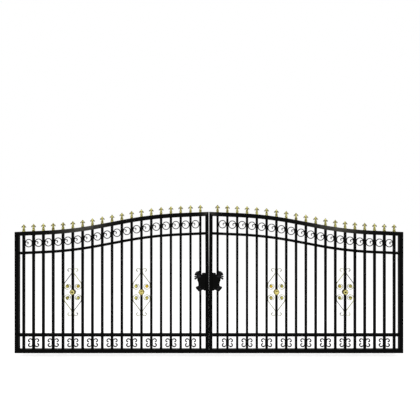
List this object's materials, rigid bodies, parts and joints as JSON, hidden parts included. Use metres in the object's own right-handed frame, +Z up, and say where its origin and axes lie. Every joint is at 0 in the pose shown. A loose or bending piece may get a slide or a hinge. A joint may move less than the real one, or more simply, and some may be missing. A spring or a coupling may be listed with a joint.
{
  "type": "double swing driveway gate",
  "caption": "Black iron double swing gate with an S-curved top, square pickets, gold spear finials, ring and C scrolls, gold flower panels, cast lock plates and bolt-on hinges.",
  "frame": {"origin": "on the post side of the left lower hinge plate, at the centre of its bolt holes", "axes": "+X along the closed gate to the other post, +Y the way the leaves open, +Z up"},
  "size_m": [4.934, 0.1407, 1.8674],
  "materials": {
    "black_paint": "satin black paint on steel",
    "rubbed_black": "black paint rubbed with gold on bent flat bar",
    "black_casting": "black painted casting",
    "hinge_paint": "black painted hinge steel",
    "gold_paint": "dull antique gold paint on a casting"
  },
  "bodies": {
    "hinge_plates": {"left_upper_hinge_plate": "hinge_paint", "left_lower_hinge_plate": "hinge_paint", "right_upper_hinge_plate": "hinge_paint", "right_lower_hinge_plate": "hinge_paint"},
    "left_leaf": {"left_hinge_stile": "black_paint", "left_meeting_stile": "black_paint", "left_top_rail": "black_paint", "left_upper_rail": "black_paint", "left_lower_rail": "black_paint", "left_bottom_rail": "black_paint", "left_pickets": "black_paint", "left_finials": "gold_paint", "left_ring_scrolls": "black_paint", "left_base_scrolls": "black_paint", "left_flower_scrolls": "rubbed_black", "left_roses": "gold_paint", "left_rosettes": "gold_paint", "left_lock_plates": "black_casting", "left_hinge_straps": "hinge_paint"},
    "right_leaf": {"right_hinge_stile": "black_paint", "right_meeting_stile": "black_paint", "right_top_rail": "black_paint", "right_upper_rail": "black_paint", "right_lower_rail": "black_paint", "right_bottom_rail": "black_paint", "right_pickets": "black_paint", "right_finials": "gold_paint", "right_ring_scrolls": "black_paint", "right_base_scrolls": "black_paint", "right_flower_scrolls": "rubbed_black", "right_roses": "gold_paint", "right_rosettes": "gold_paint", "right_lock_plates": "black_casting", "right_hinge_straps": "hinge_paint"}
  },
  "joints": [
    {"name": "left_leaf_swing", "type": "hinge", "parent": "hinge_plates", "child": "left_leaf", "pos_m": [0.021, -0.038, 0], "axis": [0, 0, 1], "range_deg": [0, 90]},
    {"name": "right_leaf_swing", "type": "hinge", "parent": "hinge_plates", "child": "right_leaf", "pos_m": [4.913, -0.038, 0], "axis": [0, 0, -1], "range_deg": [0, 90]}
  ]
}
